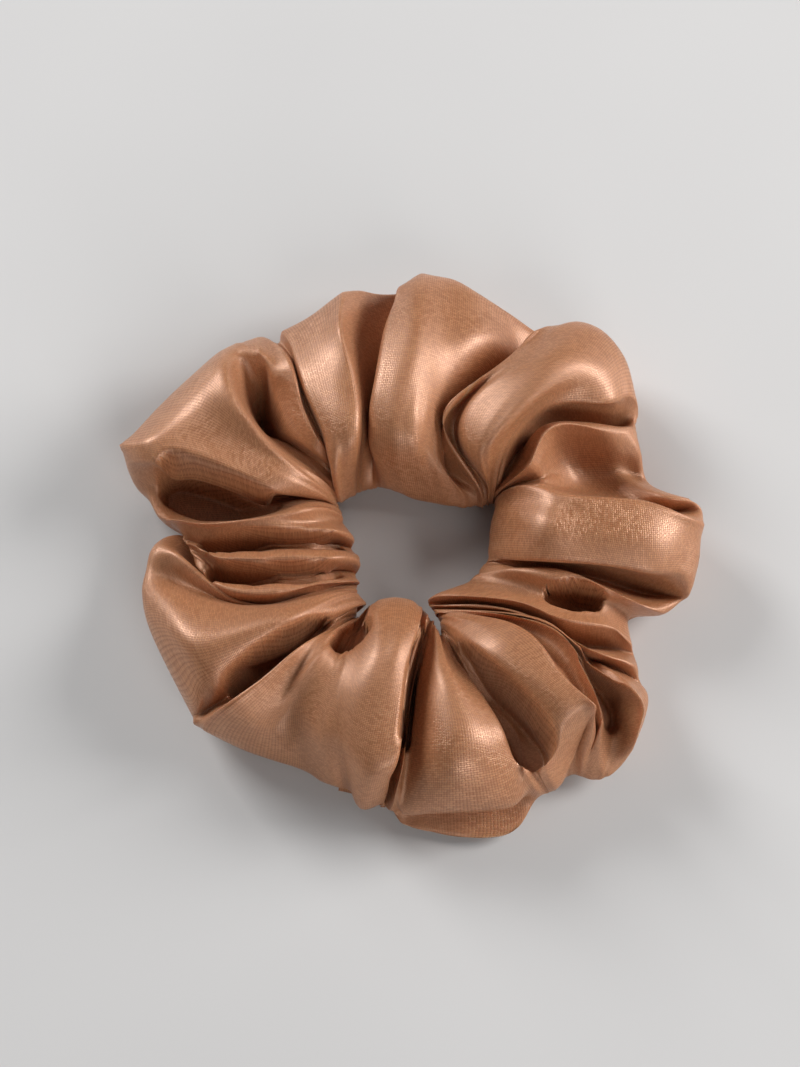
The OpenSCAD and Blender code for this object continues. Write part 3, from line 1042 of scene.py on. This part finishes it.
# %% The zigzag through the elastic's lap
CROSSINGS = 9
SLANT = math.radians(12)
JOIN_SHARE = 0.75
CROSSING_SHARE = 0.8
join_places = []
for i in range(CROSSINGS):
    turn = math.radians(JOIN_DIRECTION + JOIN_SHARE * LAP * (i / (CROSSINGS - 1) - 0.5))
    out = Vector((math.cos(turn), math.sin(turn), 0))
    round_loop = Vector((-out.y, out.x, 0))
    lean = Vector((0, 0, math.cos(SLANT))) + round_loop * math.sin(SLANT) * (1 if i % 2 else -1)
    for radius in (ELASTIC_R - ELASTIC_THICK / 2, ELASTIC_R + LAP_OVER + ELASTIC_THICK / 2):
        middle = out * radius + Vector((0, 0, ELASTIC_LOW + ELASTIC_WIDTH / 2))
        join_places.append((middle, lean, CROSSING_SHARE * ELASTIC_WIDTH))
join_seam = lay_stitches("elastic_zigzag_stitches", join_places)

# %% Sewing thread, twisted from two plies
PLY_PITCH = 0.00035


def sewing_thread():
    """Matte polyester thread, a little darker than the satin."""
    material, nodes, links, shader = new_material("sewing_thread")
    place_on = nodes.new("ShaderNodeTexCoord")
    plies = nodes.new("ShaderNodeTexWave")
    plies.bands_direction = "DIAGONAL"
    settle(plies, {"Scale": WAVE_PERIOD / PLY_PITCH})
    links.new(place_on.outputs["Object"], plies.inputs["Vector"])
    coloured(nodes, links, shader, plies.outputs["Fac"], (0.27, 0.10, 0.045, 1), (0.42, 0.18, 0.09, 1))
    bumped(nodes, links, shader, plies.outputs["Fac"], 0.5, 0.00006)
    settle(shader, {"Roughness": 0.62})
    return material


thread_finish = sewing_thread()
dress(long_seam, thread_finish)
dress(closing_seam, thread_finish)
dress(join_seam, thread_finish)

# %% [markdown]
# ## Standing in for the frame's parts
# The CAD model cuts the ring into a front and a back half so that it can be stretched. The soft pieces
# aren't cut:
# each whole piece takes the place of the CAD parts it stands for, which are hidden, and its placement is
# baked into its points.

# %% Hide the CAD parts that each piece stands for
STANDS_FOR = {
    cover: ["satin_cover_back", "satin_cover_front_hemmed_end", "satin_cover_front_tucked_end"],
    elastic: ["elastic_band_back", "elastic_band_front_inner_end", "elastic_band_front_outer_end"],
    long_seam: ["long_seam_thread_back", "long_seam_thread_front"],
    closing_seam: ["closing_seam_thread"],
    join_seam: ["elastic_join_thread"],
}
for piece, stood_for in STANDS_FOR.items():
    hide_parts(*stood_for)
    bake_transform(piece)

# %% [markdown]
# ## The floor, the light and the camera
# Satin shows its folds best when light comes from both sides and little comes from above: the sides of
# each lobe shine and its deep creases stay dark. So two soft windows stand left and right of a pale
# floor, both rather low, and a weak light in front keeps the near side open.

# %% A pale floor
def pale_floor():
    """A matte pale surface with a very soft grain."""
    material, nodes, links, shader = new_material("pale_floor")
    place_on = nodes.new("ShaderNodeTexCoord")
    grain = nodes.new("ShaderNodeTexNoise")
    settle(grain, {"Scale": 9})
    links.new(place_on.outputs["Object"], grain.inputs["Vector"])
    coloured(nodes, links, shader, grain.outputs["Fac"], (0.61, 0.61, 0.615, 1), (0.68, 0.68, 0.685, 1))
    settle(shader, {"Roughness": 0.85})
    return material


floor_mesh = bmesh.new()
bmesh.ops.create_grid(floor_mesh, x_segments=1, y_segments=1, size=1.5)
floor = finished("floor", floor_mesh)
floor.data.materials.append(pale_floor())

# %% Soft lights
LIGHTS = [
    ("window", (-0.70, 0.62, 0.52), 0.45, 9.0, (1.0, 0.99, 0.975)),
    ("second window", (0.86, 0.22, 0.44), 0.45, 9.5, (1.0, 0.98, 0.96)),
    ("front fill", (0.35, -0.85, 0.50), 0.50, 3.6, (1.0, 0.98, 0.96)),
]
for name, spot, size, power, tint in LIGHTS:
    lamp = bpy.data.lights.new(name, "AREA")
    lamp.size = size
    lamp.energy = power
    lamp.color = tint
    light = bpy.data.objects.new(name, lamp)
    light.location = spot
    light.rotation_euler = (-Vector(spot)).to_track_quat("-Z", "Y").to_euler()
    bpy.context.scene.collection.objects.link(light)
world = bpy.data.worlds.new("room")
world.use_nodes = True
settle(world.node_tree.nodes["Background"], {"Color": (0.95, 0.97, 1.0, 1), "Strength": 0.10})
bpy.context.scene.world = world
bpy.context.scene.view_settings.view_transform = "Standard"

# %% The camera, steep above the front
CAMERA_ELEVATION = math.radians(68)
CAMERA_DISTANCE = 0.45
CAMERA_TARGET = Vector((-0.0024, 0.0012, 0.008))
TALL_FIELD = math.radians(26.7)
SENSOR = 36
back = Vector((0, -math.cos(CAMERA_ELEVATION), math.sin(CAMERA_ELEVATION)))
camera_data = bpy.data.cameras.new("camera")
camera_data.sensor_width = SENSOR
camera_data.lens = SENSOR / 2 / math.tan(TALL_FIELD / 2)
camera = bpy.data.objects.new("camera", camera_data)
camera.location = CAMERA_TARGET + back * CAMERA_DISTANCE
camera.rotation_euler = (-back).to_track_quat("-Z", "Y").to_euler()
bpy.context.scene.collection.objects.link(camera)
bpy.context.scene.camera = camera
